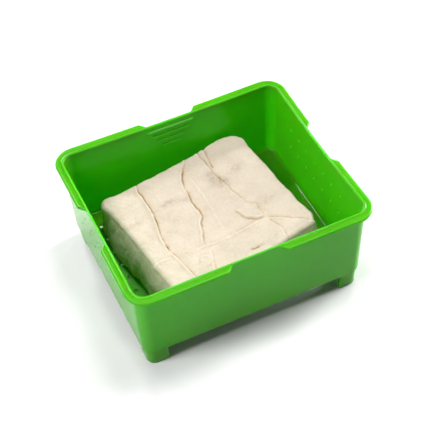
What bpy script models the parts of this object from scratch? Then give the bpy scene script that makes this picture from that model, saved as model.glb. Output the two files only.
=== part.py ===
"""Cheese mold: a draining tray moulded in one piece, and the pressed block of curd in it.

Metres, +Z up. X runs along the tray's long side and Y along its short side, front to back.
The origin is under the middle of the tray, on the surface that the feet stand on.
"""
import math

import bmesh
import bpy
from mathutils import Matrix, Vector

MM = 0.001

# Tray: walls that lean in towards the floor.
TOTAL_HEIGHT = 59.0 * MM
FOOT_HEIGHT = 10.0 * MM
WALL_TOP_LENGTH = 128.3 * MM
WALL_TOP_WIDTH = 107.9 * MM
WALL_THICKNESS = 1.3 * MM
FLOOR_THICKNESS = 1.5 * MM
WALL_LEAN = 1.85 * MM
CORNER_RADIUS = 7.0 * MM
FLOOR_FILLET = 2.0 * MM
UNDERSIDE_EDGE = 1.5 * MM

# Flange: stands out of the walls just under the lip, with a finger notch in each side.
FLANGE_LENGTH = 135.0 * MM
FLANGE_WIDTH = 116.0 * MM
FLANGE_CORNER = 11.3 * MM
FLANGE_THICKNESS = 2.0 * MM
LIP_RISE = 0.2 * MM
NOTCH_MOUTH = 32.6 * MM
NOTCH_FLOOR = 26.0 * MM

# Feet: each one is a bent strip that follows the tray's corner.
FOOT_INSET_X = 1.4 * MM
FOOT_INSET_Y = 0.75 * MM
FOOT_REACH = 11.2 * MM
FOOT_THICKNESS = 1.8 * MM
FOOT_CORNER = 4.9 * MM

# Drain holes: a grid in the floor, and two rows in each short wall.
FLOOR_HOLE_RADIUS = 1.1 * MM
FLOOR_HOLE_PITCH = 10.15 * MM
FLOOR_HOLE_COLUMNS = 11
FLOOR_HOLE_ROWS = 9
FLOOR_HOLE_OFFSET = -1.4 * MM
WALL_HOLE_RADIUS = 0.65 * MM
WALL_HOLE_PITCH = 9.15 * MM
WALL_HOLE_HEIGHTS = (31.6 * MM, 44.0 * MM)
WALL_HOLE_COLUMNS = 7
WALL_HOLE_OFFSET = 1.0 * MM

# Fill marks: short bars on the back wall, each one shorter than the one above.
MARK_LENGTHS = (27.0 * MM, 22.4 * MM, 17.2 * MM, 11.6 * MM)
MARK_TOP = TOTAL_HEIGHT - 4.25 * MM
MARK_STEP = 3.75 * MM
MARK_HEIGHT = 1.0 * MM
MARK_RISE = 0.45 * MM

# Block of curd: lies on the floor, turned a little, is higher at its right side, and its
# left side has sagged outward.
BLOCK_LENGTH = 88.1 * MM
BLOCK_WIDTH = 86.6 * MM
BLOCK_HEIGHT_LEFT = 20.5 * MM
BLOCK_HEIGHT_RIGHT = 24.0 * MM
BLOCK_TURN = math.radians(8.2)
BLOCK_MIDDLE = (-0.5 * MM, -0.3 * MM)
BLOCK_CORNER = 7.0 * MM
BLOCK_SIDE_STATIONS = (0.7, 0.45, 0.15, -0.15, -0.45, -0.7)

# Levels of the block: share of its height below the top, inset, and sag of its left side.
BLOCK_LEVELS = (
    (0.0, 2.5 * MM, 0.0),
    (0.04, 0.9 * MM, 0.3 * MM),
    (0.13, 0.0, 0.8 * MM),
    (0.50, 0.0, 2.9 * MM),
    (0.86, 0.0, 4.0 * MM),
    (1.0, 1.6 * MM, 4.0 * MM),
)
CLEARANCE = 0.3 * MM

FLOOR_TOP = FOOT_HEIGHT + FLOOR_THICKNESS
FLANGE_TOP = TOTAL_HEIGHT - LIP_RISE
LEAN_SLOPE = WALL_LEAN / (TOTAL_HEIGHT - FOOT_HEIGHT)
OVERCUT = 1.0 * MM


def clear_scene():
    for item in list(bpy.data.objects):
        bpy.data.objects.remove(item, do_unlink=True)


def new_collection(name):
    collection = bpy.data.collections.new(name)
    bpy.context.scene.collection.children.link(collection)
    return collection


def make_material(name, colour, roughness):
    material = bpy.data.materials.new(name)
    material.use_nodes = True
    shader = material.node_tree.nodes["Principled BSDF"]
    shader.inputs["Base Color"].default_value = (*colour, 1.0)
    shader.inputs["Roughness"].default_value = roughness
    shader.inputs["Metallic"].default_value = 0.0
    return material


def object_from_bmesh(mesh_data, name, collection):
    mesh = bpy.data.meshes.new(name)
    mesh_data.to_mesh(mesh)
    mesh_data.free()
    item = bpy.data.objects.new(name, mesh)
    collection.objects.link(item)
    return item


def half_size_at(height):
    """Half the walls' outer length and width at a height, with their lean."""
    inset = (TOTAL_HEIGHT - height) * LEAN_SLOPE
    return WALL_TOP_LENGTH / 2 - inset, WALL_TOP_WIDTH / 2 - inset


def tapered_box(name, collection, bottom, top, inset, corner, edge, segments):
    """A closed box between two heights that follows the walls' lean, inset from their
    outer faces, with rounded upright edges and a rounded bottom edge."""
    form = bmesh.new()
    bmesh.ops.create_cube(form, size=2.0)
    for vertex in form.verts:
        height = top if vertex.co.z > 0 else bottom
        half_x, half_y = half_size_at(height)
        vertex.co.x *= half_x - inset
        vertex.co.y *= half_y - inset
        vertex.co.z = height
    uprights = [e for e in form.edges if e.verts[0].co.z != e.verts[1].co.z]
    bmesh.ops.bevel(form, geom=uprights, offset=corner, segments=segments,
                    profile=0.5, affect="EDGES")
    lowest = [e for e in form.edges if all(abs(v.co.z - bottom) < 1e-6 for v in e.verts)]
    bmesh.ops.bevel(form, geom=lowest, offset=edge[0], segments=edge[1],
                    profile=0.5, affect="EDGES")
    return object_from_bmesh(form, name, collection)


def box(name, collection, low, high):
    form = bmesh.new()
    bmesh.ops.create_cube(form, size=1.0)
    size = Vector(high) - Vector(low)
    centre = (Vector(high) + Vector(low)) / 2
    bmesh.ops.scale(form, vec=size, verts=form.verts)
    bmesh.ops.translate(form, vec=centre, verts=form.verts)
    return object_from_bmesh(form, name, collection)


def quarter_arc(centre_x, centre_y, radius, start, steps=6):
    turn = math.pi / 2
    return [(centre_x + radius * math.cos(start + turn * i / steps),
             centre_y + radius * math.sin(start + turn * i / steps)) for i in range(steps + 1)]


def rounded_rectangle(half_x, half_y, radius):
    points = []
    for index, (side_x, side_y) in enumerate(((1, 1), (-1, 1), (-1, -1), (1, -1))):
        points += quarter_arc(side_x * (half_x - radius), side_y * (half_y - radius),
                              radius, index * math.pi / 2)
    return points


def notched_rectangle(half_x, half_y, radius, mouth, floor, floor_x, floor_y):
    """A rounded rectangle with a notch in the middle of each side, its ends sloping."""
    corners = [(1, 1), (-1, 1), (-1, -1), (1, -1)]
    notches = [
        [(mouth, half_y), (floor, floor_y), (-floor, floor_y), (-mouth, half_y)],
        [(-half_x, mouth), (-floor_x, floor), (-floor_x, -floor), (-half_x, -mouth)],
        [(-mouth, -half_y), (-floor, -floor_y), (floor, -floor_y), (mouth, -half_y)],
        [(half_x, -mouth), (floor_x, -floor), (floor_x, floor), (half_x, mouth)],
    ]
    points = []
    for index, (side_x, side_y) in enumerate(corners):
        points += quarter_arc(side_x * (half_x - radius), side_y * (half_y - radius),
                              radius, index * math.pi / 2)
        points += notches[index]
    return points


def plate(name, collection, outlines, bottom, top):
    """A flat plate with the outlines as its outer edge and its holes."""
    curve = bpy.data.curves.new(name + "_outline", "CURVE")
    curve.dimensions = "2D"
    curve.fill_mode = "BOTH"
    curve.extrude = (top - bottom) / 2
    for outline in outlines:
        spline = curve.splines.new("POLY")
        spline.points.add(len(outline) - 1)
        for point, (x, y) in zip(spline.points, outline):
            point.co = (x, y, 0.0, 1.0)
        spline.use_cyclic_u = True
    guide = bpy.data.objects.new(name + "_outline", curve)
    guide.location.z = (top + bottom) / 2
    collection.objects.link(guide)
    bpy.context.view_layer.update()
    evaluated = guide.evaluated_get(bpy.context.evaluated_depsgraph_get())
    mesh = bpy.data.meshes.new_from_object(evaluated)
    form = bmesh.new()
    form.from_mesh(mesh)
    bmesh.ops.remove_doubles(form, verts=form.verts, dist=1e-6)
    bmesh.ops.recalc_face_normals(form, faces=form.faces)
    form.to_mesh(mesh)
    form.free()
    item = bpy.data.objects.new(name, mesh)
    item.matrix_world = guide.matrix_world.copy()
    collection.objects.link(item)
    bpy.data.objects.remove(guide, do_unlink=True)
    bpy.data.curves.remove(curve)
    return item


def peg_cluster(name, collection, places, radius, length, direction, sides):
    """Straight pegs of one size at several places, used to cut a group of drain holes."""
    form = bmesh.new()
    turn = Vector((0, 0, 1)).rotation_difference(Vector(direction)).to_matrix().to_4x4()
    for place in places:
        bmesh.ops.create_cone(form, cap_ends=True, segments=sides, radius1=radius,
                              radius2=radius, depth=length,
                              matrix=Matrix.Translation(place) @ turn)
    return object_from_bmesh(form, name, collection)


def centred_row(count, pitch):
    return [(index - (count - 1) / 2) * pitch for index in range(count)]


def make_feet(collection):
    """Four bent strips: a ring that follows the underside's outline, less its four sides."""
    half_x, half_y = half_size_at(FOOT_HEIGHT)
    outer_x, outer_y = half_x - FOOT_INSET_X, half_y - FOOT_INSET_Y
    inner_x, inner_y = outer_x - FOOT_THICKNESS, outer_y - FOOT_THICKNESS
    ring = plate("feet", collection, [
        rounded_rectangle(outer_x, outer_y, FOOT_CORNER),
        rounded_rectangle(inner_x, inner_y, FOOT_CORNER - FOOT_THICKNESS)],
        0.0, FOOT_HEIGHT + FLOOR_THICKNESS / 2)
    gap_x, gap_y = outer_x - FOOT_REACH, outer_y - FOOT_REACH
    ceiling = FOOT_HEIGHT + FLOOR_THICKNESS
    for name, reach_x, reach_y in (("foot_gap_long", gap_x, outer_y + OVERCUT),
                                   ("foot_gap_short", outer_x + OVERCUT, gap_y)):
        gap = box(name, collection, (-reach_x, -reach_y, -OVERCUT), (reach_x, reach_y, ceiling))
        combine(ring, gap, "DIFFERENCE")
    return ring


def make_fill_marks(collection):
    marks = []
    for index, length in enumerate(MARK_LENGTHS):
        middle = MARK_TOP - index * MARK_STEP
        face = half_size_at(middle)[1] - WALL_THICKNESS
        low = (-length / 2, face - MARK_RISE, middle - MARK_HEIGHT / 2)
        high = (length / 2, face + WALL_THICKNESS / 2, middle + MARK_HEIGHT / 2)
        marks.append(box(f"fill_mark_{index + 1}", collection, low, high))
    return marks


def make_drain_holes(collection):
    floor_places = [Vector((x, y + FLOOR_HOLE_OFFSET, FOOT_HEIGHT + FLOOR_THICKNESS / 2))
                    for x in centred_row(FLOOR_HOLE_COLUMNS, FLOOR_HOLE_PITCH)
                    for y in centred_row(FLOOR_HOLE_ROWS, FLOOR_HOLE_PITCH)]
    floor_pegs = peg_cluster("floor_holes", collection, floor_places, FLOOR_HOLE_RADIUS,
                             FLOOR_THICKNESS + 2 * OVERCUT, (0, 0, 1), 8)
    wall_places = []
    for height in WALL_HOLE_HEIGHTS:
        middle_x = half_size_at(height)[0] - WALL_THICKNESS / 2
        wall_places += [Vector((side * middle_x, y + WALL_HOLE_OFFSET, height))
                        for side in (-1, 1)
                        for y in centred_row(WALL_HOLE_COLUMNS, WALL_HOLE_PITCH)]
    wall_pegs = peg_cluster("wall_holes", collection, wall_places, WALL_HOLE_RADIUS,
                            WALL_THICKNESS + 2 * OVERCUT, (1, 0, 0), 6)
    return [floor_pegs, wall_pegs]


def combine(target, tool, operation):
    modifier = target.modifiers.new(tool.name, "BOOLEAN")
    modifier.operation = operation
    modifier.solver = "EXACT"
    modifier.object = tool
    tool.hide_render = True
    tool.display_type = "WIRE"


def make_mold_body(parts, tools, material):
    body = tapered_box("mold_body", parts, FOOT_HEIGHT, TOTAL_HEIGHT, 0.0,
                       CORNER_RADIUS, (UNDERSIDE_EDGE, 1), 5)
    half_x, half_y = half_size_at(FLANGE_TOP)
    flange = plate("flange", tools, [
        notched_rectangle(FLANGE_LENGTH / 2, FLANGE_WIDTH / 2, FLANGE_CORNER,
                          NOTCH_MOUTH / 2, NOTCH_FLOOR / 2,
                          half_x - WALL_THICKNESS / 2, half_y - WALL_THICKNESS / 2)],
        FLANGE_TOP - FLANGE_THICKNESS, FLANGE_TOP)
    cavity = tapered_box("cavity", tools, FLOOR_TOP, TOTAL_HEIGHT + OVERCUT, WALL_THICKNESS,
                         CORNER_RADIUS - WALL_THICKNESS, (FLOOR_FILLET, 2), 5)
    combine(body, flange, "UNION")
    combine(body, make_feet(tools), "UNION")
    combine(body, cavity, "DIFFERENCE")
    for mark in make_fill_marks(tools):
        combine(body, mark, "UNION")
    for pegs in make_drain_holes(tools):
        combine(body, pegs, "DIFFERENCE")
    body.data.materials.append(material)
    body.data.shade_smooth()
    body.data.set_sharp_from_angle(angle=math.radians(40))
    return body


def block_ring(drop, inset, slump):
    """One closed ring of the block's skin at a drop below its top, which rises to the right.
    The slump is how far the left side sags outward at its middle; the corners stay."""
    half_x = BLOCK_LENGTH / 2 - inset
    half_y = BLOCK_WIDTH / 2 - inset
    outline = rounded_rectangle(half_x, half_y, BLOCK_CORNER - inset)
    left_side = [(-half_x, share * half_y) for share in BLOCK_SIDE_STATIONS]
    first_left = next(i for i, (x, y) in enumerate(outline)
                      if x < -half_x + 1e-6 and y > 0)
    outline = outline[:first_left + 1] + left_side + outline[first_left + 1:]
    ring = []
    for x, y in outline:
        on_left = x < -half_x + 1e-6
        sag = slump * (1 - (y / half_y) ** 4) if on_left else 0.0
        share = (x + BLOCK_LENGTH / 2) / BLOCK_LENGTH
        tall = BLOCK_HEIGHT_LEFT + (BLOCK_HEIGHT_RIGHT - BLOCK_HEIGHT_LEFT) * share
        ring.append((x - sag + BLOCK_MIDDLE[0], y + BLOCK_MIDDLE[1],
                     FLOOR_TOP + CLEARANCE + tall * (1 - drop)))
    return ring


def make_cheese_block(parts, material):
    form = bmesh.new()
    rings = []
    for drop, inset, slump in BLOCK_LEVELS:
        rings.append([form.verts.new(point) for point in block_ring(drop, inset, slump)])
    for upper, lower in zip(rings, rings[1:]):
        for i in range(len(upper)):
            form.faces.new((upper[i - 1], lower[i - 1], lower[i], upper[i]))
    form.faces.new(rings[0])
    form.faces.new(rings[-1][::-1])
    bmesh.ops.recalc_face_normals(form, faces=form.faces)
    bmesh.ops.rotate(form, cent=(0, 0, 0), verts=form.verts,
                     matrix=Matrix.Rotation(BLOCK_TURN, 3, "Z"))
    block = object_from_bmesh(form, "cheese_block", parts)
    block.data.materials.append(material)
    block.data.shade_smooth()
    block.data.set_sharp_from_angle(angle=math.radians(40))
    return block


def main():
    clear_scene()
    parts = new_collection("cheese_mold")
    tools = new_collection("cutters")
    green = make_material("mold_green", (0.10, 0.46, 0.02), 0.25)
    cream = make_material("curd_cream", (0.87, 0.77, 0.60), 0.75)
    make_mold_body(parts, tools, green)
    make_cheese_block(parts, cream)


main()
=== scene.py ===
"""Looks of the cheese mold: a glossy green one-piece draining mold with a pressed block of curd.

Metres, +Z up, in the frame of the CAD model. X runs along the long side, and -Y is the front.
"""

import math

import bpy
import numpy as np
from mathutils import Matrix, Vector


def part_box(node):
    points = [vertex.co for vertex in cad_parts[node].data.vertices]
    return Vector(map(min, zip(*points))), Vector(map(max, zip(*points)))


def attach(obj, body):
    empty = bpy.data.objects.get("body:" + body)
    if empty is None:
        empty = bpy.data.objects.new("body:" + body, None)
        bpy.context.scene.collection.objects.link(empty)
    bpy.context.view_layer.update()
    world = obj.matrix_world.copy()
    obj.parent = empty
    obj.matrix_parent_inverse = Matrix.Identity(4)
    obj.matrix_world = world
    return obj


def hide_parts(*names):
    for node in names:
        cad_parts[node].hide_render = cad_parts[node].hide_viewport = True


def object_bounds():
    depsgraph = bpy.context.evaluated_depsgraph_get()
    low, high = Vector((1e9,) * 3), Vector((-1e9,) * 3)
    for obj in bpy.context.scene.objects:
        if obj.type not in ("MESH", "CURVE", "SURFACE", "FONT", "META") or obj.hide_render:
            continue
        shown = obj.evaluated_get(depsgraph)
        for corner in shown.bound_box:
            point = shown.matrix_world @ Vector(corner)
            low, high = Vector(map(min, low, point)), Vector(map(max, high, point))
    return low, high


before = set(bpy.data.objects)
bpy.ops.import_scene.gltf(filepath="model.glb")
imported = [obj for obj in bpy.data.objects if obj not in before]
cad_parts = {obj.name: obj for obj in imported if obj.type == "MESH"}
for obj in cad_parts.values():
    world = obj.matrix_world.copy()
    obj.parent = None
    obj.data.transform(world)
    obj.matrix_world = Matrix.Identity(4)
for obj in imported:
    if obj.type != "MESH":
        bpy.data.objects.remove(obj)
cad_low, cad_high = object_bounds()

MM = 0.001

# The mold's box and the heights of its floor.
mold_low, mold_high = (np.array(corner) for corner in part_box("mold_body"))
MOLD_CENTRE = (mold_low + mold_high) / 2
TOP = mold_high[2]
FOOT_HEIGHT = 10.0 * MM
FLOOR_THICKNESS = 1.5 * MM
FLOOR_TOP = FOOT_HEIGHT + FLOOR_THICKNESS

# Walls: their thickness, half the distances between their outer faces at the top, the lean
# per metre of height, the outer corner radii, and how far the middle of the front, right,
# back and left wall bows in at the top.
WALL = 1.3 * MM
WALL_HALF = np.array([64.15, 53.95]) * MM
LEAN = 1.85 * MM / (TOP - FOOT_HEIGHT)
CORNER_TOP = 7.3 * MM
CORNER_BOTTOM = 6.0 * MM
SIDE_BOW = (0.12 * MM, 0.75 * MM, 0.6 * MM, 0.14 * MM)

# Flange: a plate with a round edge, along the top of the walls. Its underside falls a little
# toward the walls, and its top dips a little toward the lip.
FLANGE_HALF = (mold_high - mold_low)[:2] / 2
FLANGE_REACH = FLANGE_HALF[0] - WALL_HALF[0]
FLANGE_THICKNESS = 2.0 * MM
FLANGE_CORNER = 11.3 * MM
FLANGE_FILLET = 0.9 * MM
FLANGE_FALL = 0.05 * MM
FLANGE_DIP = 0.06 * MM

# Notches in the flange: half the straight bottom, the run of each sloped end, and how softly
# the slope bends, as a share of its run.
NOTCH_FLOOR = 13.0 * MM
NOTCH_SLOPE = 3.3 * MM
NOTCH_SOFTNESS = 0.10

# Lip: a low bead along the walls' top. Its rise above the flange, half its width, its crown's
# radius, the height of the ledges beside it, its foot's height above them, and the radius of
# the edge between the inner ledge and the wall.
LIP_RISE = 0.2 * MM
LIP_BEAD = 0.45 * MM
LIP_CROWN = 1.0 * MM
LIP_SHOULDER = TOP - 0.36 * MM
LIP_STEP = 0.12 * MM
LIP_ROUND = 0.25 * MM

# Radii of the edge between the walls and the floor, inside and outside.
FLOOR_FILLET = 2.0 * MM
UNDERSIDE_EDGE = 1.5 * MM

# Extra rings this far before and after a round keep the flat beside it flat.
RING_MARGIN = 0.3 * MM

# Fill marks: ridges on the inside of the back wall, each one shorter than the one above.
# The band of painted highlight on a ridge, a paler green, is a little shorter and narrower than
# the ridge.
MARK_LENGTHS = (27.0 * MM, 22.4 * MM, 17.2 * MM, 11.6 * MM)
MARK_TOP = TOP - 4.25 * MM
MARK_STEP = 3.75 * MM
MARK_HALF_HEIGHT = 0.65 * MM
MARK_RISE = 0.75 * MM
MARK_END = 0.7 * MM
MARK_END_SOFTNESS = 0.3
MARK_RINGS = (1.05, 0.99, 0.9, 0.7, 0.35, 0.0, -0.35, -0.7, -0.9, -0.99, -1.05)
MARK_HIGHLIGHT_MARGIN = 0.4 * MM
MARK_HIGHLIGHT_SHARE = 0.55
MARK_HIGHLIGHT_DEPTH = 0.2 * MM
MARK_HIGHLIGHT_STRENGTH = 0.8

# Drain holes: a grid in the floor, and two rows in the left and in the right wall.
FLOOR_HOLE_RADIUS = 1.1 * MM
FLOOR_HOLE_PITCH = 10.15 * MM
FLOOR_HOLE_GRID = (11, 9)
FLOOR_HOLE_OFFSET = -1.4 * MM
FLOOR_HOLE_SIDES = 24
WALL_HOLE_RADIUS = 0.75 * MM
WALL_HOLE_PITCH = 9.15 * MM
WALL_HOLE_HEIGHTS = (31.6 * MM, 44.0 * MM)
WALL_HOLE_COLUMNS = 7
WALL_HOLE_OFFSET = 1.0 * MM
WALL_HOLE_SIDES = 16
HOLE_CHAMFER = 0.28 * MM
CUTTER_MARGIN = 0.25 * MM

# Feet: bent strips under the corners, set in from the outer walls along x and y.
FOOT_INSET = np.array([1.2, 0.55]) * MM
FOOT_REACH = 11.2 * MM
FOOT_THICKNESS = 1.8 * MM
FOOT_CORNER = 4.9 * MM
FOOT_TIP_ROUND = 0.35 * MM
FOOT_EDGE = 0.45 * MM

# Outward directions of the front, right, back and left sides, seen from above.
SIDES = ((0, -1), (1, 0), (0, 1), (-1, 0))
BACK = 2


# ---------------------------------------------------------------- mesh helpers

def mesh_object(name, vertices, faces):
    mesh = bpy.data.meshes.new(name)
    mesh.from_pydata([tuple(v) for v in vertices], [], faces)
    mesh.update()
    item = bpy.data.objects.new(name, mesh)
    bpy.context.scene.collection.objects.link(item)
    return item


def smooth(item, angle):
    item.data.shade_smooth()
    item.data.set_sharp_from_angle(angle=math.radians(angle))


def loft(rings):
    """Vertices and faces of a skin through rings of equally many points, closed at both ends."""
    count = len(rings[0])
    vertices = np.concatenate(rings)
    faces = []
    for level in range(len(rings) - 1):
        start = level * count
        for i in range(count):
            j = (i + 1) % count
            faces.append((start + i, start + j, start + count + j, start + count + i))
    faces.append(tuple(reversed(range(count))))
    faces.append(tuple(range(len(vertices) - count, len(vertices))))
    return vertices, faces


def boolean(target, tool, operation):
    modifier = target.modifiers.new(tool.name, "BOOLEAN")
    modifier.operation = operation
    modifier.solver = "EXACT"
    modifier.object = tool
    evaluated = target.evaluated_get(bpy.context.evaluated_depsgraph_get())
    result = bpy.data.meshes.new_from_object(evaluated)
    target.modifiers.clear()
    old = target.data
    target.data = result
    bpy.data.meshes.remove(old)
    bpy.data.objects.remove(tool, do_unlink=True)


def arc(centre, radius, start, end, steps):
    """Points on an arc in the (offset, height) plane, from one angle in degrees to another."""
    angles = np.radians(np.linspace(start, end, steps + 1))
    return [(centre[0] + radius * math.cos(a), centre[1] + radius * math.sin(a)) for a in angles]


# ---------------------------------------------------------------- outline of the mold

def side_stations():
    """Places along a side, close together at the notch's ends and the fill marks' ends."""
    fine = np.arange(4.5, 18.0, 0.45) * MM
    coarse = np.array([1.5, 3.0, 21.0, 25.0, 30.0, 36.0, 42.0]) * MM
    half = np.sort(np.concatenate([fine, coarse]))
    return np.concatenate([-half[::-1], [0.0], half])


def side_bow(side, along, run, height):
    """How far a wall (0 front, 1 right, 2 back, 3 left) stands in, between its corners."""
    share = np.clip((height - FOOT_HEIGHT) / (TOP - FOOT_HEIGHT), 0, 1)
    return SIDE_BOW[side] * share * (1 - (along / run) ** 2)


class Outline:
    """A rounded rectangle seen from above, sampled at the same stations for every ring.

    kinds is 0 to 3 on the sides, and 4 to 7 on the corner after each side. reach is how much
    of the flange there is, 0 in a notch and 1 beside it. Stations no further than FIXED from
    a side's middle stay put, and the others spread with the side's length.
    """

    FIXED = 20.0 * MM
    CORNER_STEPS = 12

    def __init__(self):
        self.normals = []
        self.along = []
        self.kinds = []
        stations = side_stations()
        for index, normal in enumerate(SIDES):
            tangent = (-normal[1], normal[0])
            for place in stations:
                self.kinds.append(index)
                self.normals.append(normal)
                self.along.append(place)
            for step in range(self.CORNER_STEPS + 1):
                angle = (math.pi / 2) * step / self.CORNER_STEPS
                self.kinds.append(4 + index)
                self.normals.append((normal[0] * math.cos(angle) + tangent[0] * math.sin(angle),
                                     normal[1] * math.cos(angle) + tangent[1] * math.sin(angle)))
                self.along.append(0.0)
        self.kinds = np.array(self.kinds)
        self.normals = np.array(self.normals, float)
        self.along = np.array(self.along)
        ramp = (np.abs(self.along) - NOTCH_FLOOR) / NOTCH_SLOPE
        self.reach = np.where(self.kinds < 4, soft_ramp(ramp, NOTCH_SOFTNESS), 1.0)

    def place(self, half, radius, height, push=0.0):
        """The ring's points at a height. half is the straight sides' distance from the
        middle, radius the corners', and push an extra step outward, for all stations or
        for each one."""
        points = np.zeros((len(self.kinds), 3))
        longest = WALL_HALF - CORNER_TOP
        for side, (nx, ny) in enumerate(SIDES):
            here = self.kinds == side
            axis = 0 if nx == 0 else 1
            run = half[axis] - radius
            a = self.along[here]
            far = np.sign(a) * (self.FIXED + (np.abs(a) - self.FIXED)
                                * (run - self.FIXED) / (longest[axis] - self.FIXED))
            a = np.where(np.abs(a) <= self.FIXED, a, far)
            sag = side_bow(side, a, run, height)
            points[here, 0] = nx * (half[0] - sag) - ny * a
            points[here, 1] = ny * (half[1] - sag) + nx * a
            here = self.kinds == 4 + side
            centre = np.array([nx - ny, ny + nx]) * (half - radius)
            points[here, :2] = centre + self.normals[here] * radius
        points[:, :2] += self.normals * np.reshape(push, (-1, 1))
        points[:, 2] = height
        return points + np.array([MOLD_CENTRE[0], MOLD_CENTRE[1], 0.0])


def soft_ramp(value, softness):
    """0 below 0 and 1 above 1, straight in between, with rounded ends."""
    value = np.asarray(value, float)
    low = (value + softness) ** 2 / (4 * softness)
    high = 1 - (1 + softness - value) ** 2 / (4 * softness)
    return np.select([value < -softness, value < softness, value < 1 - softness,
                      value < 1 + softness], [0.0, low, value, high], 1.0)


def mold_ring(outline, offset, height, push=0.0):
    """A ring of the mold's skin, a given distance outside its leaning outer wall face."""
    share = (TOP - height) / (TOP - FOOT_HEIGHT)
    half = WALL_HALF - (TOP - height) * LEAN
    corner = CORNER_TOP + (CORNER_BOTTOM - CORNER_TOP) * share
    if offset <= 0:
        return outline.place(half + offset, corner + offset, height, push)
    near = outline.place(half, corner, height)
    far = outline.place(FLANGE_HALF, FLANGE_CORNER, height)
    reach = offset / FLANGE_REACH * outline.reach
    return near + (far - near) * reach[:, None]


def fill_mark_push(outline, height):
    """How far the back wall's inner face stands in at a height, along its fill marks."""
    push = np.zeros(len(outline.kinds))
    back = outline.kinds == BACK
    for index, length in enumerate(MARK_LENGTHS):
        level = MARK_TOP - index * MARK_STEP
        across = np.clip(1 - ((height - level) / MARK_HALF_HEIGHT) ** 2, 0, 1)
        end = length / 2 - np.abs(outline.along[back])
        along = soft_ramp(end / MARK_END, MARK_END_SOFTNESS)
        push[back] -= MARK_RISE * math.sqrt(across) * along
    return push


def rim_profile():
    """(offset, height) points from the outer wall, round the flange and over the lip's bead."""
    top = TOP - LIP_RISE
    low = top - FLANGE_THICKNESS
    edge = FLANGE_THICKNESS / 2
    points = arc((FLANGE_FILLET, low - FLANGE_FILLET - FLANGE_FALL), FLANGE_FILLET, 180, 90, 5)
    points += [(FLANGE_REACH - edge - 0.1 * MM, low - FLANGE_FALL / 4)]
    points += arc((FLANGE_REACH - edge, low + edge), edge, -90, 90, 14)
    points += [(FLANGE_REACH - edge - 0.5 * MM, top)]
    points += [(0.9 * MM, top - FLANGE_DIP), (0.3 * MM, LIP_SHOULDER)]
    points += [(0.1 * MM, LIP_SHOULDER + LIP_STEP)]
    points += arc((-LIP_BEAD - 0.02 * MM, TOP - LIP_CROWN), LIP_CROWN, 66, 114, 9)
    points += [(-2 * LIP_BEAD - 0.1 * MM, LIP_SHOULDER + LIP_STEP)]
    points += arc((LIP_ROUND - WALL, LIP_SHOULDER - LIP_ROUND), LIP_ROUND, 90, 180, 5)[:-1]
    return points


def outer_profile():
    """(offset, height) points from the underside, round its edge and up the outer wall."""
    low = FOOT_HEIGHT
    fillet_low = TOP - LIP_RISE - FLANGE_THICKNESS - FLANGE_FILLET
    points = [(-3.0 * MM, low), (-UNDERSIDE_EDGE - RING_MARGIN, low)]
    points += arc((-UNDERSIDE_EDGE, low + UNDERSIDE_EDGE), UNDERSIDE_EDGE, -90, 0, 5)
    points += [(0.0, low + UNDERSIDE_EDGE + RING_MARGIN), (0.0, 0.35 * TOP), (0.0, 0.6 * TOP)]
    points += [(0.0, fillet_low - 0.5 * MM)]
    return points


def inner_profile():
    """(offset, height) points down the inner wall, over the fill marks and into the floor."""
    points = [(-WALL, LIP_SHOULDER - LIP_ROUND - 0.1 * MM)]
    for index in range(len(MARK_LENGTHS)):
        level = MARK_TOP - index * MARK_STEP
        points += [(-WALL, level + step * MARK_HALF_HEIGHT) for step in MARK_RINGS]
    bend = FLOOR_TOP + FLOOR_FILLET
    points += [(-WALL, 0.6 * TOP), (-WALL, 0.4 * TOP), (-WALL, bend + 0.4 * MM)]
    points += arc((-WALL - FLOOR_FILLET, bend), FLOOR_FILLET, 0, -90, 8)
    points += [(-WALL - FLOOR_FILLET - 0.4 * MM, FLOOR_TOP)]
    return points


def hole_cutter(name, places, radius, thickness, direction, sides):
    """Spools that cut holes with chamfered rims through a plate."""
    half = thickness / 2
    wide = radius + HOLE_CHAMFER + CUTTER_MARGIN
    profile = [(wide, -half - CUTTER_MARGIN), (radius, -half + HOLE_CHAMFER),
               (radius, half - HOLE_CHAMFER), (wide, half + CUTTER_MARGIN)]
    turn = Vector((0, 0, 1)).rotation_difference(Vector(direction)).to_matrix()
    vertices = []
    faces = []
    angles = np.arange(sides) * 2 * math.pi / sides
    rings = [np.stack([r * np.cos(angles), r * np.sin(angles), np.full(sides, along)], axis=1)
             for r, along in profile]
    spool, spool_faces = loft(rings)
    spool = spool @ np.array(turn).T
    for index, place in enumerate(places):
        base = index * len(spool)
        vertices.append(spool + np.array(place))
        faces += [tuple(base + i for i in face) for face in spool_faces]
    return mesh_object(name, np.concatenate(vertices), faces)


def centred_row(count, pitch):
    return [(index - (count - 1) / 2) * pitch for index in range(count)]


def floor_hole_places():
    middle = FOOT_HEIGHT + FLOOR_THICKNESS / 2
    return [(x, y + FLOOR_HOLE_OFFSET, middle)
            for x in centred_row(FLOOR_HOLE_GRID[0], FLOOR_HOLE_PITCH)
            for y in centred_row(FLOOR_HOLE_GRID[1], FLOOR_HOLE_PITCH)]


def wall_hole_places(side):
    """Middles of the holes in the left (-1) or right (1) wall, halfway through the wall."""
    places = []
    for height in WALL_HOLE_HEIGHTS:
        for y in centred_row(WALL_HOLE_COLUMNS, WALL_HOLE_PITCH):
            bow = side_bow(2 - side, y + WALL_HOLE_OFFSET, WALL_HALF[1] - CORNER_TOP, height)
            x = side * (WALL_HALF[0] - (TOP - height) * LEAN - WALL / 2 - bow)
            places.append((x, y + WALL_HOLE_OFFSET, height))
    return places


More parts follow.
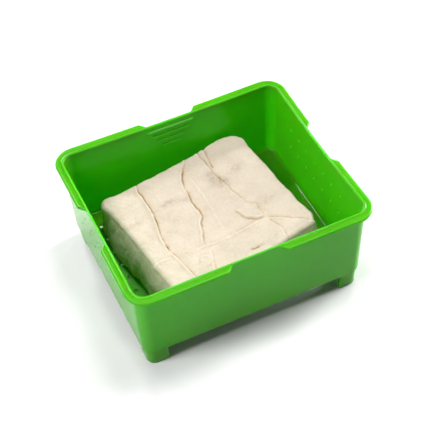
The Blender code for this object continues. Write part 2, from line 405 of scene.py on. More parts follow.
def cut_drain_holes(body):
    cutter = hole_cutter("floor_holes", floor_hole_places(), FLOOR_HOLE_RADIUS,
                         FLOOR_THICKNESS, (0, 0, 1), FLOOR_HOLE_SIDES)
    boolean(body, cutter, "DIFFERENCE")
    for side in (-1, 1):
        cutter = hole_cutter("wall_holes", wall_hole_places(side), WALL_HOLE_RADIUS, WALL,
                             (1, 0, -side * LEAN), WALL_HOLE_SIDES)
        boolean(body, cutter, "DIFFERENCE")


# ---------------------------------------------------------------- feet

def eased_corner(x, y, inward_x, inward_y):
    """Three points that round one corner of a foot's strip. The inward signs point into it."""
    half_way = 0.3 * FOOT_TIP_ROUND
    return [(x, y + inward_y * FOOT_TIP_ROUND),
            (x + inward_x * half_way, y + inward_y * half_way),
            (x + inward_x * FOOT_TIP_ROUND, y)]


def foot_outline(inset, height, side_x, side_y):
    """The closed outline of one bent foot strip at a height, drawn in by an inset."""
    half = WALL_HALF - (TOP - height) * LEAN - FOOT_INSET
    centre = half - FOOT_CORNER
    tips = half - FOOT_REACH + inset
    outer = FOOT_CORNER - inset
    inner = FOOT_CORNER - FOOT_THICKNESS + inset
    face = half - inset
    back = half - FOOT_THICKNESS + inset
    points = eased_corner(tips[0], face[1], 1, -1)
    points += [(centre[0] + outer * math.sin(a), centre[1] + outer * math.cos(a))
               for a in np.linspace(0, math.pi / 2, 13)]
    points += eased_corner(face[0], tips[1], -1, 1)
    points += eased_corner(back[0], tips[1], 1, 1)[::-1]
    points += [(centre[0] + inner * math.cos(a), centre[1] + inner * math.sin(a))
               for a in np.linspace(0, math.pi / 2, 9)]
    points += eased_corner(tips[0], back[1], 1, 1)[::-1]
    ring = np.array([(x * side_x, y * side_y, height) for x, y in points])
    if side_x * side_y > 0:
        ring = ring[::-1]
    return ring + np.array([MOLD_CENTRE[0], MOLD_CENTRE[1], 0.0])


def make_foot(side_x, side_y):
    """A foot with rounded bottom edges, whose top ends inside the mold's floor."""
    levels = [(FOOT_EDGE * (1 - math.sin(a)), FOOT_EDGE * (1 - math.cos(a)))
              for a in np.linspace(0, math.pi / 2, 5)]
    levels += [(0.0, FOOT_HEIGHT / 2), (0.0, FOOT_HEIGHT + FLOOR_THICKNESS / 2)]
    vertices, faces = loft([foot_outline(inset, height, side_x, side_y)
                            for inset, height in levels])
    return mesh_object("foot", vertices, faces)


# ---------------------------------------------------------------- mold

def mold_skin():
    """The mold without feet and holes: one skin from the underside's middle to the floor's."""
    outline = Outline()
    rings = [mold_ring(outline, offset, height) for offset, height in outer_profile()]
    rings += [mold_ring(outline, offset, height) for offset, height in rim_profile()]
    rings += [mold_ring(outline, offset, height, fill_mark_push(outline, height))
              for offset, height in inner_profile()]
    vertices, faces = loft(rings)
    return mesh_object("mold_shell", vertices, faces)


def make_mold():
    body = mold_skin()
    for side_x in (-1, 1):
        for side_y in (-1, 1):
            boolean(body, make_foot(side_x, side_y), "UNION")
    cut_drain_holes(body)
    smooth(body, 40)
    body.data.materials.clear()
    body.data.materials.append(mold_material())
    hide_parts("mold_body")
    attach(body, "mold")


# ---------------------------------------------------------------- curd block

# The block as the CAD has it: its turn, half its length and width, and its corner radius.
BLOCK_TURN = math.radians(8.2)
BLOCK_HALF = np.array([44.05, 43.3]) * MM
BLOCK_CORNER = 7.0 * MM

# Its worn surface: the box of its top seen from above, its heights at the left side and above
# that at the right, its corner radii (front left, front right, back right, back left), and how
# far the left and front sides have sagged outward.
TOP_LOW = np.array([-42.6, -38.0]) * MM
TOP_HIGH = BLOCK_HALF
BLOCK_BASE = FLOOR_TOP + 0.3 * MM
BLOCK_LEFT_HEIGHT = 20.5 * MM
BLOCK_RISE = 3.5 * MM
BLOCK_CORNERS = (5.5 * MM, 3.2 * MM, 7.5 * MM, 3.2 * MM)
SIDE_SAG = 5.8 * MM
FRONT_SAG = 4.6 * MM

# Where the sag is full, as a share of the way down, and how the foot tucks in below it.
SAG_FULL = 0.86
FOOT_TUCK = 1.4 * MM
FOOT_TUCK_HEIGHT = 2.5 * MM

# Its mesh: cells along each side of the top, rings round the edge and rings down the sides.
BLOCK_CELLS = 176
BLOCK_EDGE_ANGLES = (15, 32, 50, 70, 90)
BLOCK_SIDE_RINGS = 33

# Bumps and dents of its outline, in mm: place along the side, reach, and how far out.
BACK_EDGE = (
    (31.0, 7.0, 1.1),
    (22.4, 1.2, -0.5),
    (0.0, 16.0, -0.5),
    (-21.5, 1.0, -0.4),
    (9.0, 1.0, -0.35),
)
RIGHT_EDGE = (
    (36.0, 6.0, 1.3),
    (-2.0, 14.0, -0.4),
    (-21.0, 8.0, -0.8),
)

# Prints of the cloth's folds, in mm from the block's middle: u to its right, v to its back.
# Each one: its line, the groove's depth, the bead's height beside it, and the strength of its
# brown stain, which also paints the groove's shade and a shadow on the sunken shelf.
# The bead's height also sets the painted highlight on the bead.
FOLDS = (
    ([(-20.6, 44), (-21.3, 41.5), (-22.5, 37.8), (-22.9, 31.5), (-23.6, 24.0), (-24.8, 17.5),
      (-26.6, 11.0), (-28.4, 6.3), (-29.6, 1.3), (-30.3, -4), (-30.9, -9.0)], 0.85, 0.50, 1.0),
    ([(-30.9, -8.7), (-30.0, -11.2), (-29.4, -16), (-29.0, -22), (-28.7, -30), (-29.0, -44)],
     0.40, 0.35, 0.45),
    ([(11.5, 44), (9.2, 41), (5.6, 37.2), (1.9, 32.2), (0.0, 27.8), (-1.3, 21.6), (-2.9, 15.3),
      (-3.3, 10.5), (-3.9, 3.6), (-5.2, 0.9), (-7.6, -1.7), (-9.5, -6), (-12.5, -12.2),
      (-13.8, -15)], 0.65, 0.45, 0.75),
    ([(-13.0, -18.5), (-14.2, -23.6), (-16.8, -29.8), (-19.5, -36), (-22, -44)], 0.40, 0.35, 0.25),
    ([(18.8, 44), (18.5, 40.8), (18.0, 28), (17.6, 24), (18.9, 15.3), (19.2, 8), (19.9, 0.3),
      (20.6, -4.7)], 0.50, 0.25, 0.50),
    ([(23.2, 44), (22.2, 40), (20.6, 32.8), (19.0, 27)], 0.60, 0.30, 0.45),
    ([(22.8, -18.0), (18.6, -16.6), (15.2, -14.0), (13.2, -11.5), (12.3, -7.5), (12.2, -4.0)],
     0.30, 0.45, 0.55),
    ([(20.2, -3.8), (22.4, -6.2), (24.6, -7.4), (23.2, -10.6), (23.0, -17.5)], 0.35, 0.25, 0.35),
    ([(22.8, -18.0), (27.8, -21.2), (31.6, -25.0), (36.6, -30.0), (43, -35.5)], 0.55, 0.35, 0.45),
    ([(22.8, -18.2), (24.2, -23.5), (25.4, -27.5), (24.8, -34.8), (24.5, -44)], 0.40, 0.25, 0.25),
    ([(-24.1, -25.2), (-21.5, -21.9), (-19.8, -19.3), (-17.0, -19.9), (-15.1, -21.1)],
     0.25, 0.20, 0.25),
    ([(-15.3, -21.3), (-16.6, -26.2), (-19.8, -28.4)], 0.20, 0.15, 0.15),
    ([(3.7, -31.1), (6.0, -32.3), (9.1, -32.7)], 0.35, 0.10, 0.90),
    ([(-46, -9.6), (-38, -9.9), (-31.4, -10.6)], 0.20, 0.25, 0.10),
    ([(-21.0, -13.8), (-14.5, -14.5), (-8.0, -16.0), (-2.5, -17.2), (6.0, -17.4), (14.0, -17.3),
      (19.0, -17.0)], 0.25, 0.30, 0.12),
    ([(6.2, 30), (5.6, 22.8), (4.4, 9.0), (1.8, -4.7), (0.2, -14.0)], 0.0, 0.30, 0.0),
    ([(-0.2, -17.5), (-1.9, -25.0), (-3.2, -34.0), (-4, -44)], 0.12, 0.15, 0.05),
)

# Across a fold, in mm: the groove's reach, the bead's distance and reach, and how far the
# sunken shelf on the other side goes.
GROOVE_REACH = 0.42
BEAD_PLACE = 1.05
BEAD_REACH = 0.65
SHELF_REACH = 3.0

# Soft swells and hollows: u, v, reach along u, reach along v, height, all in mm.
SWELLS = (
    (18.0, -9.5, 4.6, 4.6, 1.0),
    (22.6, -11.2, 1.0, 1.6, -0.6),
    (14.6, 18.0, 3.4, 7.0, -0.9),
    (-25.6, 5.8, 2.4, 3.8, -0.6),
    (31.5, 30.3, 9.0, 12.0, 0.7),
    (-9.5, 14.3, 7.0, 14.0, 0.45),
    (8.5, 16.3, 2.6, 13.0, 0.5),
    (-37.5, 5.3, 5.0, 22.0, 0.35),
    (33.0, -31.0, 6.0, 2.4, 0.7),
    (34.5, -15.7, 8.0, 5.0, -0.5),
    (-1.5, -24.0, 14.0, 5.0, 0.4),
)

# Gray patches: u, v, reach along u, reach along v, all in mm, and strength.
GRAY_PATCHES = (
    (15.5, 22.0, 3.0, 5.5, 0.6),
    (19.0, 16.0, 3.0, 3.0, 0.5),
    (-14.5, 21.0, 4.5, 2.2, 0.7),
    (-6.5, 17.5, 3.5, 2.0, 0.4),
    (-38.0, 19.5, 5.0, 1.6, 0.4),
    (29.0, 20.0, 5.0, 3.0, 0.35),
    (30.0, -8.0, 7.0, 3.0, 0.3),
    (9.0, -32.0, 3.5, 1.2, 0.6),
)


class Wobble:
    """Smooth repeatable noise over points, made from a lattice of random values."""

    SIZE = 64

    def __init__(self, seed):
        self.values = np.random.default_rng(seed).uniform(-1, 1, (self.SIZE,) * 3)

    def __call__(self, points, scale, octaves=1):
        total = np.zeros(len(points))
        strength = 1.0
        for octave in range(octaves):
            total += strength * self.layer(np.asarray(points) / scale * 2 ** octave)
            strength *= 0.5
        return total

    def layer(self, places):
        cell = np.floor(places).astype(int)
        part = places - cell
        part = part * part * (3 - 2 * part)
        total = np.zeros(len(places))
        for corner in range(8):
            step = np.array([corner & 1, corner >> 1 & 1, corner >> 2 & 1])
            index = (cell + step) % self.SIZE
            weight = np.prod(np.where(step == 1, part, 1 - part), axis=1)
            total += weight * self.values[index[:, 0], index[:, 1], index[:, 2]]
        return total


def bell(distance, reach):
    """A smooth bump: 1 at distance 0 and about a third at the reach."""
    return np.exp(-(distance / reach) ** 2)


def spot(places, u, v, wide, deep, strength):
    """A smooth bump round a place, with its own reach along u and along v."""
    return strength * bell(places[:, 0] - u, wide) * bell(places[:, 1] - v, deep)


def flat_points(places):
    """The places as points in space, at height 0."""
    return np.column_stack([places, np.zeros(len(places))])


def past(value, start, run):
    """0 up to a start, rising to 1 over a run."""
    return np.clip((value - start) / run, 0, 1)


def smooth_line(points, steps=6):
    """A Catmull-Rom curve through the points."""
    points = np.array(points, float)
    padded = np.concatenate([[2 * points[0] - points[1]], points, [2 * points[-1] - points[-2]]])
    share = np.arange(steps)[:, None] / steps
    curve = []
    for a, b, c, d in zip(padded, padded[1:], padded[2:], padded[3:]):
        curve.append(0.5 * (2 * b + (c - a) * share + (2 * a - 5 * b + 4 * c - d) * share ** 2
                            + (3 * b - a - 3 * c + d) * share ** 3))
    return np.concatenate(curve + [points[-1:]])


def beside_line(places, line):
    """Each place's signed distance from a line, and a share that fades to 0 at its ends."""
    best = np.full(len(places), 1e9)
    side = np.zeros(len(places))
    along = np.zeros(len(places))
    count = len(line) - 1
    for index in range(count):
        start, step = line[index], line[index + 1] - line[index]
        share = np.clip(((places - start) @ step) / (step @ step), 0, 1)
        gap = places - start - share[:, None] * step
        distance = np.hypot(gap[:, 0], gap[:, 1])
        nearer = distance < best
        best = np.where(nearer, distance, best)
        cross = step[1] * gap[:, 0] - step[0] * gap[:, 1]
        side = np.where(nearer, np.sign(cross), side)
        along = np.where(nearer, (index + share) / count, along)
    ends = np.clip(np.minimum(along, 1 - along) * 9, 0, 1)
    return best * side, ends


def block_outline():
    """The block's outline seen from above as four runs of points, front, right, back and
    left, each from the middle of one rounded corner to the middle of the next."""
    runs = []
    half = (TOP_HIGH - TOP_LOW) / 2
    shift = (TOP_HIGH + TOP_LOW) / 2
    corners = [(-1, -1), (1, -1), (1, 1), (-1, 1)]
    for side in range(4):
        run = []
        for end in range(2):
            index = (side + end) % 4
            radius = BLOCK_CORNERS[index]
            centre = shift + np.array(corners[index]) * (half - radius)
            middle = math.radians(225 + 90 * index)
            angles = middle + np.linspace(-end, 1 - end, 13) * math.pi / 4
            run.append(centre + radius * np.stack([np.cos(angles), np.sin(angles)], axis=1))
        line = np.concatenate(run)
        length = np.concatenate([[0], np.cumsum(np.hypot(*np.diff(line, axis=0).T))])
        even = np.linspace(0, length[-1], BLOCK_CELLS + 1)
        runs.append(np.stack([np.interp(even, length, line[:, 0]),
                              np.interp(even, length, line[:, 1])], axis=1))
    return runs


def edge_bumps(along, bumps):
    return sum(height * bell(along - middle, reach) for middle, reach, height in bumps)


def edge_wander(places, wobble):
    """How far the block's outline stands out from its plain shape, along its normal."""
    u, v = places[:, 0] / MM, places[:, 1] / MM
    out = past(v, 34, 6) * (edge_bumps(u, BACK_EDGE) + 0.25)
    out += past(u, 34, 6) * edge_bumps(v, RIGHT_EDGE)
    out -= 1.9 * past(-v, 30, 5) * past(u, 14, 20)
    out += past(-u, 34, 6) * (2.0 * bell(v - 42, 6) - 0.2)
    out += 0.28 * wobble(flat_points(places / MM), 6.0, 3)
    return out * MM


def edge_rounding(places):
    """The radius between the top and the sides: wider at the front and left."""
    u, v = places[:, 0] / MM, places[:, 1] / MM
    return (1.3 + 0.8 * np.maximum(past(-v, 30, 8), past(-u, 36, 7))) * MM


def side_sag(places, wobble):
    """How far the block's left and front sides have sagged outward at their foot."""
    u, v = places[:, 0] / MM, places[:, 1] / MM
    left = past(-u, 38, 4) * np.clip(1 - np.abs((v - 1.5) / 41.5) ** 4, 0, 1)
    front = past(-v, 28, 6) * np.clip(1 - np.abs((u - 6) / 45) ** 6, 0, 1)
    uneven = (1 + 0.13 * bell(v - 20, 7) - 0.1 * bell(v + 2, 6)
              + 0.06 * wobble(flat_points(places / MM), 5.0, 2))
    return np.maximum(SIDE_SAG * left, FRONT_SAG * front) * uneven


def top_height(u):
    """Height of the block's top above its base, before the folds are printed in it."""
    rise = BLOCK_RISE * (u + BLOCK_HALF[0]) / (2 * BLOCK_HALF[0])
    return BLOCK_LEFT_HEIGHT + rise


def gray_patches_at(places, wobble):
    """How gray the curd is at places in mm."""
    total = np.zeros(len(places))
    for gray_patch in GRAY_PATCHES:
        total += spot(places, *gray_patch)
    return np.clip(total * (1 + 0.7 * wobble(flat_points(places) + 53.0, 1.6, 3)), 0, 1)


def fold_relief(places, wobble):
    """Height of the folds' prints and swells at places in mm, how brown the grooves are with
    stain and painted shade, and how much painted highlight lies on the beads beside them."""
    flat = flat_points(places)
    drift = np.column_stack([wobble(flat + 7.3, 2.2, 2), wobble(flat + 31.9, 2.2, 2)])
    moved = places + 0.35 * drift
    height = np.zeros(len(places))
    stain_and_shade = np.zeros(len(places))
    bead_highlight = np.zeros(len(places))
    thick = 1 + 0.5 * wobble(flat + 90.0, 5.0)
    for points, depth, bead, stain_and_shade_strength in FOLDS:
        distance, ends = beside_line(moved, smooth_line(points))
        groove = bell(distance, GROOVE_REACH * thick)
        ridge = bell(distance - BEAD_PLACE, BEAD_REACH)
        shelf = np.where(distance < 0, np.exp(distance / SHELF_REACH), 0.0)
        height += ends * (1.2 * bead * ridge - 1.2 * depth * thick * groove - 0.5 * depth * shelf)
        # The brown mark is a stain line in the groove that also paints its shade, plus a painted
        # shadow across the sunken shelf beside it.
        mark = np.maximum(bell(distance + 0.15, 0.36 * thick), 0.35 * shelf * bell(distance, 2.6))
        stain_and_shade = np.maximum(stain_and_shade, ends * stain_and_shade_strength * np.clip(thick, 0.4, 1.4) * mark)
        # A painted highlight: the curd is paler along the bead beside each fold.
        bead_highlight = np.maximum(bead_highlight, ends * bead / 0.5 * bell(distance - 0.8, 0.5))
    for swell in SWELLS:
        height += spot(places, *swell)
    return height, np.clip(stain_and_shade, 0, 1), np.clip(bead_highlight, 0, 1)


def block_loop(wobble):
    """The block's closed outline seen from above, and its outward directions."""
    loop = np.concatenate([run[:-1] for run in block_outline()])
    around = np.roll(loop, -1, axis=0) - np.roll(loop, 1, axis=0)
    normal = np.stack([around[:, 1], -around[:, 0]], axis=1)
    normal /= np.hypot(*normal.T)[:, None]
    return loop + normal * edge_wander(loop, wobble)[:, None], normal


def top_grid(rim):
    """Rows of points that fill the rim, from its front to its back (a Coons patch)."""
    size = BLOCK_CELLS + 1
    front = rim[0:size]
    right = rim[size - 1:2 * size - 1]
    back = rim[2 * size - 2:3 * size - 2][::-1]
    left = np.concatenate([rim[3 * size - 3:], rim[:1]])[::-1]
    s = np.linspace(0, 1, size)[None, :, None]
    t = np.linspace(0, 1, size)[:, None, None]
    grid = ((1 - t) * front[None] + t * back[None] + (1 - s) * left[:, None] + s * right[:, None]
            - ((1 - s) * (1 - t) * front[0] + s * (1 - t) * front[-1]
               + (1 - s) * t * back[0] + s * t * back[-1]))
    return grid.reshape(-1, 2)


def plain_block(wobble):
    """The block's points level by level, before any relief, and the way that each one faces."""
    loop, normal = block_loop(wobble)
    radius = edge_rounding(loop)
    rim = loop - normal * radius[:, None]
    top = top_grid(rim)
    levels = [np.column_stack([top, top_height(top[:, 0])])]
    facing = [np.column_stack([np.zeros((len(top), 2)), np.ones(len(top))])]
    tall = top_height(loop[:, 0])
    for angle in np.radians(BLOCK_EDGE_ANGLES):
        out = rim + normal * (radius * math.sin(angle))[:, None]
        levels.append(np.column_stack([out, tall - radius * (1 - math.cos(angle))]))
        facing.append(np.column_stack([normal * math.sin(angle),
                                       np.full(len(loop), math.cos(angle))]))
    sag = side_sag(loop, wobble)
    for share in np.linspace(0, 1, BLOCK_SIDE_RINGS + 1)[1:]:
        height = (tall - radius) * (1 - share)
        tuck = -FOOT_TUCK * np.clip(1 - height / FOOT_TUCK_HEIGHT, 0, 1) ** 2
        spread = sag * math.sin(min(share / SAG_FULL, 1) * math.pi / 2) + tuck
        levels.append(np.column_stack([loop + normal * spread[:, None], height]))
        facing.append(flat_points(normal))
    return np.concatenate(levels), np.concatenate(facing)


def block_faces():
    """Faces of the top's grid, of the rings round it and down the sides, and of the base."""
    size = BLOCK_CELLS + 1
    faces = [(a, a + 1, a + size + 1, a + size)
             for row in range(size - 1) for a in range(row * size, row * size + size - 1)]
    edge = np.concatenate([np.arange(size), np.arange(1, size) * size + size - 1,
                           size * size - 2 - np.arange(size - 1),
                           (size - 2 - np.arange(size - 2)) * size])
    count = len(edge)
    rings = [edge] + [size * size + level * count + np.arange(count)
                      for level in range(len(BLOCK_EDGE_ANGLES) + BLOCK_SIDE_RINGS)]
    for upper, lower in zip(rings, rings[1:]):
        for i in range(count):
            j = (i + 1) % count
            faces.append((upper[i], lower[i], lower[j], upper[j]))
    faces.append(rings[-1][::-1])
    return [tuple(int(i) for i in face) for face in faces]


def place_block(block):
    """Puts the block in the CAD's place, by the high corner of the CAD block's box, which is
    set by the sides that haven't sagged."""
    high = np.array(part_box("cheese_block")[1])
    straight = BLOCK_HALF - BLOCK_CORNER
    cosine, sine = math.cos(BLOCK_TURN), math.sin(BLOCK_TURN)
    middle_x = high[0] - (straight[0] * cosine + straight[1] * sine + BLOCK_CORNER)
    middle_y = high[1] - (straight[0] * sine + straight[1] * cosine + BLOCK_CORNER)
    block.matrix_world = (Matrix.Translation((middle_x, middle_y, BLOCK_BASE))
                          @ Matrix.Rotation(BLOCK_TURN, 4, "Z"))


def make_block():
    wobble = Wobble(11)
    points, facing = plain_block(wobble)
    relief, stain_and_shade, bead_highlight = fold_relief(points[:, :2] / MM, wobble)
    bumps = (0.55 * wobble(points / MM, 17.0) + 0.22 * wobble(points / MM, 5.0, 2)
             + 0.075 * wobble(points / MM, 1.2, 2))
    above_base = np.clip(points[:, 2] / (4 * MM), 0, 1)
    lift = (relief * np.clip(facing[:, 2] + 0.35, 0, 1) + bumps) * above_base * MM
    points = points + facing * lift[:, None]

    block = mesh_object("curd", points, block_faces())
    gray_patch = gray_patches_at(points[:, :2] / MM, wobble)
    for title, values in (("stain_and_shade", stain_and_shade), ("gray_patch", gray_patch), ("bead_highlight", bead_highlight)):
        layer = block.data.attributes.new(title, "FLOAT", "POINT")
        layer.data.foreach_set("value", values.astype(np.float32))
    place_block(block)
    smooth(block, 60)
    block.data.materials.append(curd_material())
    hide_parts("cheese_block")
    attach(block, "block")


# ---------------------------------------------------------------- materials

class Nodes:
    """Short calls for building a material's node tree."""

    def __init__(self, name):
        self.material = bpy.data.materials.new(name)
        self.material.use_nodes = True
        self.tree = self.material.node_tree
        self.shader = self.tree.nodes["Principled BSDF"]

    def add(self, kind, inputs=None, **settings):
        node = self.tree.nodes.new(kind)
        for key, value in settings.items():
            setattr(node, key, value)
        for key, value in (inputs or {}).items():
            if isinstance(value, bpy.types.NodeSocket):
                self.tree.links.new(value, node.inputs[key])
            else:
                node.inputs[key].default_value = value
        return node

    def ramp(self, source, stops):
        node = self.add("ShaderNodeValToRGB", {"Fac": source})
        band = node.color_ramp
        while len(band.elements) < len(stops):
            band.elements.new(0.5)
        for element, (place, colour) in zip(band.elements, stops):
            element.position = place
            element.color = (*colour, 1.0)
        return node.outputs["Color"]

    def noise(self, place, scale, detail=4.0, roughness=0.5):
        return self.add("ShaderNodeTexNoise", {"Vector": place, "Scale": scale, "Detail": detail,
                                               "Roughness": roughness}).outputs["Fac"]

    def math(self, operation, a, b=0.0):
        return self.add("ShaderNodeMath", {0: a, 1: b}, operation=operation).outputs[0]

    def mix(self, share, a, b):
        """From colour socket a to plain colour b, by a share."""
        node = self.add("ShaderNodeMix", data_type="RGBA")
        self.tree.links.new(share, node.inputs["Factor"])
        self.tree.links.new(a, node.inputs["A"])
        node.inputs["B"].default_value = (*b, 1.0)
        return node.outputs["Result"]

    def multiply(self, a, b):
        node = self.add("ShaderNodeMix", data_type="RGBA", blend_type="MULTIPLY")
        node.inputs["Factor"].default_value = 1.0
        self.tree.links.new(a, node.inputs["A"])
        self.tree.links.new(b, node.inputs["B"])
        return node.outputs["Result"]

    def set(self, **sockets):
        """Sets or links the shader's own sockets, with _ for the space in a name."""
        for name, value in sockets.items():
            socket = self.shader.inputs[name.replace("_", " ")]
            if isinstance(value, bpy.types.NodeSocket):
                self.tree.links.new(value, socket)
            else:
                socket.default_value = value


CLEAR_GREEN = (
    (0.3, (0.050, 0.270, 0.003)),
    (0.7, (0.058, 0.300, 0.004)),
)
# Paler green painted on the fill marks' ridges as a highlight.
MARK_HIGHLIGHT_GREEN = (0.13, 0.42, 0.06)
CREAM = (
    (0.37, (0.445, 0.37, 0.295)),
    (0.50, (0.50, 0.425, 0.345)),
    (0.65, (0.54, 0.468, 0.388)),
)
# Brown of the folds: part stain, part painted shade in the grooves and painted shadow on the
# shelves.
STAIN_AND_SHADE_TINT = (
    (0.0, (1.0, 1.0, 1.0)),
    (0.25, (0.94, 0.89, 0.80)),
    (1.0, (0.57, 0.40, 0.20)),
)
GRAY_PATCH_TINT = (
    (0.0, (1.0, 1.0, 1.0)),
    (1.0, (0.66, 0.64, 0.62)),
)
# Painted highlight on the beads beside the folds.
BEAD_HIGHLIGHT_TINT = (
    (0.0, (1.0, 1.0, 1.0)),
    (1.0, (1.12, 1.14, 1.16)),
)
FLOOR_WHITE = (
    (0.3, (0.62, 0.62, 0.62)),
    (0.7, (0.64, 0.64, 0.64)),
)


def fill_mark_highlight(nodes, place):
    """How much painted highlight, a paler green, lies on the fill marks' ridges, and 0 elsewhere.
    """
    axes = nodes.add("ShaderNodeSeparateXYZ", {0: place}).outputs
    row = nodes.math("DIVIDE", nodes.math("SUBTRACT", MARK_TOP, axes["Z"]), MARK_STEP)
    nearest = nodes.math("ROUND", row)
    apart = nodes.math("ABSOLUTE", nodes.math("SUBTRACT", row, nearest))
    last = len(MARK_LENGTHS) - 1
    shorter = nodes.math("MULTIPLY", nearest, (MARK_LENGTHS[0] - MARK_LENGTHS[last]) / (2 * last))
    half = nodes.math("SUBTRACT", MARK_LENGTHS[0] / 2 - MARK_HIGHLIGHT_MARGIN, shorter)
    outward = nodes.math("SUBTRACT", axes["Y"], nodes.math("MULTIPLY", axes["Z"], LEAN))
    inner_face = WALL_HALF[1] - TOP * LEAN - WALL
    mask = nodes.math("LESS_THAN", apart, MARK_HIGHLIGHT_SHARE * MARK_HALF_HEIGHT / MARK_STEP)
    for part in (nodes.math("LESS_THAN", nodes.math("ABSOLUTE", axes["X"]), half),
                 nodes.math("GREATER_THAN", outward, 0.8 * inner_face),
                 nodes.math("LESS_THAN", outward, inner_face + MARK_HIGHLIGHT_DEPTH),
                 nodes.math("GREATER_THAN", row, -0.5),
                 nodes.math("LESS_THAN", row, last + 0.5)):
        mask = nodes.math("MULTIPLY", mask, part)
    return nodes.math("MULTIPLY", mask, MARK_HIGHLIGHT_STRENGTH)


def mold_material():
    """Glossy, slightly translucent green polypropylene, mottled and faintly grained, with a
    painted highlight on the fill marks.
    """
    nodes = Nodes("mold_green_plastic")
    place = nodes.add("ShaderNodeTexCoord").outputs["Object"]
    colour = nodes.ramp(nodes.noise(place, 28.0, 3.0), CLEAR_GREEN)
    fine = nodes.noise(place, 900.0, 6.0, 0.6)
    wiped = nodes.noise(place, 60.0, 5.0, 0.6)
    uneven = nodes.math("ADD", nodes.math("MULTIPLY", wiped, 0.10),
                        nodes.math("MULTIPLY", fine, 0.06))
    rough = nodes.math("ADD", uneven, 0.12)
    bump = nodes.add("ShaderNodeBump", {"Strength": 0.04, "Distance": 0.0004, "Height": fine})
    # The fill marks' ridges get a paler green: a painted highlight.
    nodes.set(Base_Color=nodes.mix(fill_mark_highlight(nodes, place), colour, MARK_HIGHLIGHT_GREEN),
              Roughness=rough, Normal=bump.outputs["Normal"], Specular_IOR_Level=0.17,
              Subsurface_Weight=1.0, Subsurface_Radius=(0.08, 1.0, 0.01),
              Subsurface_Scale=0.005, IOR=1.49)
    return nodes.material


def curd_colour(nodes, place):
    """Mottled cream; browner in the folds, part stain and part painted shade, with a painted
    shadow on the sunken shelves; grayer at the gray patches; and paler on the beads beside the
    folds, a painted highlight.
    """
    mottle = nodes.math("ADD", nodes.math("MULTIPLY", nodes.noise(place, 90.0, 6.0, 0.6), 0.55),
                        nodes.math("MULTIPLY", nodes.noise(place, 900.0, 4.0, 0.7), 0.45))
    colour = nodes.ramp(mottle, CREAM)
    # The fold tint adds brown stain with painted shade, and the bead tint a painted highlight.
    for title, tint in (("stain_and_shade", STAIN_AND_SHADE_TINT), ("gray_patch", GRAY_PATCH_TINT), ("bead_highlight", BEAD_HIGHLIGHT_TINT)):
        amount = nodes.add("ShaderNodeAttribute", attribute_name=title).outputs["Fac"]
        colour = nodes.multiply(colour, nodes.ramp(amount, tint))
    return colour


def curd_material():
    """Pressed curd: cream, faintly mottled, with a cloth's grain, yellow-brown creases that carry
    painted shade, and painted highlights on the beads beside them.
    """
    nodes = Nodes("curd_cream")
    place = nodes.add("ShaderNodeTexCoord").outputs["Object"]
    grain = nodes.noise(place, 1500.0, 5.0, 0.65)
    curds = nodes.noise(place, 420.0, 5.0, 0.6)
    relief = nodes.math("ADD", nodes.math("MULTIPLY", grain, 0.5), curds)
    bump = nodes.add("ShaderNodeBump", {"Strength": 0.6, "Distance": 0.0006, "Height": relief})
    rough = nodes.math("ADD", nodes.math("MULTIPLY", curds, 0.25), 0.45)
    nodes.set(Base_Color=curd_colour(nodes, place), Roughness=rough,
              Normal=bump.outputs["Normal"], Subsurface_Weight=0.25,
              Subsurface_Radius=(1.0, 0.75, 0.45), Subsurface_Scale=0.0015, IOR=1.42,
              Specular_IOR_Level=0.4)
    return nodes.material


# ---------------------------------------------------------------- stage, light and camera

FLOOR_SIZE = 6.0

# Each lamp: the azimuth that its light comes from (0 front, 90 right, 180 back, 270 left) and
# its elevation, both in degrees, its size in m and its power in W.
LAMPS = {
    "key_left": (277, 55, 0.35, 12.0),
    "top": (112, 75, 0.3, 6.5),
    "right_high": (98, 50, 0.4, 4.0),
    "spark_back": (184, 52, 0.11, 4.5),
    "spark_left": (135, 31, 0.1, 2.0),
    "left_low": (264, 14, 0.5, 2.5),
    "right_low": (96, 12, 0.5, 28.0),
    "back_low": (190, 14, 0.5, 9.0),
}
LAMP_DISTANCE = 1.2
WORLD_STRENGTH = 0.10

# The camera: where it stands round the mold, how it is rolled, and what it looks at.
CAMERA_AZIMUTH = -22.3
CAMERA_ELEVATION = 48.55
CAMERA_ROLL = -3.69
CAMERA_DISTANCE = 0.6361
CAMERA_LENS = 99.76
CAMERA_TARGET = MOLD_CENTRE + np.array([2.27, 1.49, 1.8]) * MM


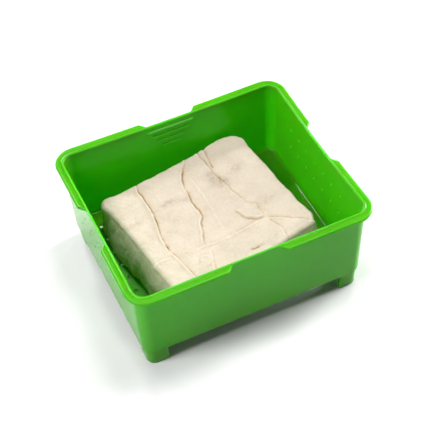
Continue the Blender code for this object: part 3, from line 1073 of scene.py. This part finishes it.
def make_floor():
    bpy.ops.mesh.primitive_plane_add(size=FLOOR_SIZE, location=(0, 0, cad_low[2]))
    floor = bpy.context.object
    floor.name = "floor"
    nodes = Nodes("floor_white")
    place = nodes.add("ShaderNodeTexCoord").outputs["Object"]
    nodes.set(Base_Color=nodes.ramp(nodes.noise(place, 3.0, 3.0), FLOOR_WHITE), Roughness=0.9)
    floor.data.materials.append(nodes.material)


def toward(azimuth, elevation):
    """The unit vector toward an azimuth (0 front, 90 right) and an elevation, in degrees."""
    azimuth, elevation = math.radians(azimuth), math.radians(elevation)
    return Vector((math.sin(azimuth) * math.cos(elevation),
                   -math.cos(azimuth) * math.cos(elevation), math.sin(elevation)))


def area_light(name, azimuth, elevation, size, power):
    data = bpy.data.lights.new(name, "AREA")
    data.shape = "SQUARE"
    data.size = size
    data.energy = power
    lamp = bpy.data.objects.new(name, data)
    away = toward(azimuth, elevation)
    lamp.location = Vector(MOLD_CENTRE) + away * LAMP_DISTANCE
    lamp.rotation_euler = away.to_track_quat("Z", "Y").to_euler()
    bpy.context.scene.collection.objects.link(lamp)


def make_lights():
    world = bpy.data.worlds.new("studio")
    world.use_nodes = True
    background = world.node_tree.nodes["Background"]
    background.inputs["Color"].default_value = (1.0, 1.0, 1.0, 1.0)
    background.inputs["Strength"].default_value = WORLD_STRENGTH
    bpy.context.scene.world = world
    for name, settings in LAMPS.items():
        area_light(name, *settings)


def make_camera():
    data = bpy.data.cameras.new("camera")
    data.sensor_width = 36.0
    data.lens = CAMERA_LENS
    data.clip_start = 0.01
    camera = bpy.data.objects.new("camera", data)
    back = toward(CAMERA_AZIMUTH, CAMERA_ELEVATION)
    turn = (back.to_track_quat("Z", "Y").to_matrix().to_4x4()
            @ Matrix.Rotation(math.radians(CAMERA_ROLL), 4, "Z"))
    place = Vector(CAMERA_TARGET) + back * CAMERA_DISTANCE
    camera.matrix_world = Matrix.Translation(place) @ turn
    bpy.context.scene.collection.objects.link(camera)
    bpy.context.scene.camera = camera


make_camera()
make_mold()
make_block()
make_floor()
make_lights()
bpy.context.scene.view_settings.view_transform = "Standard"
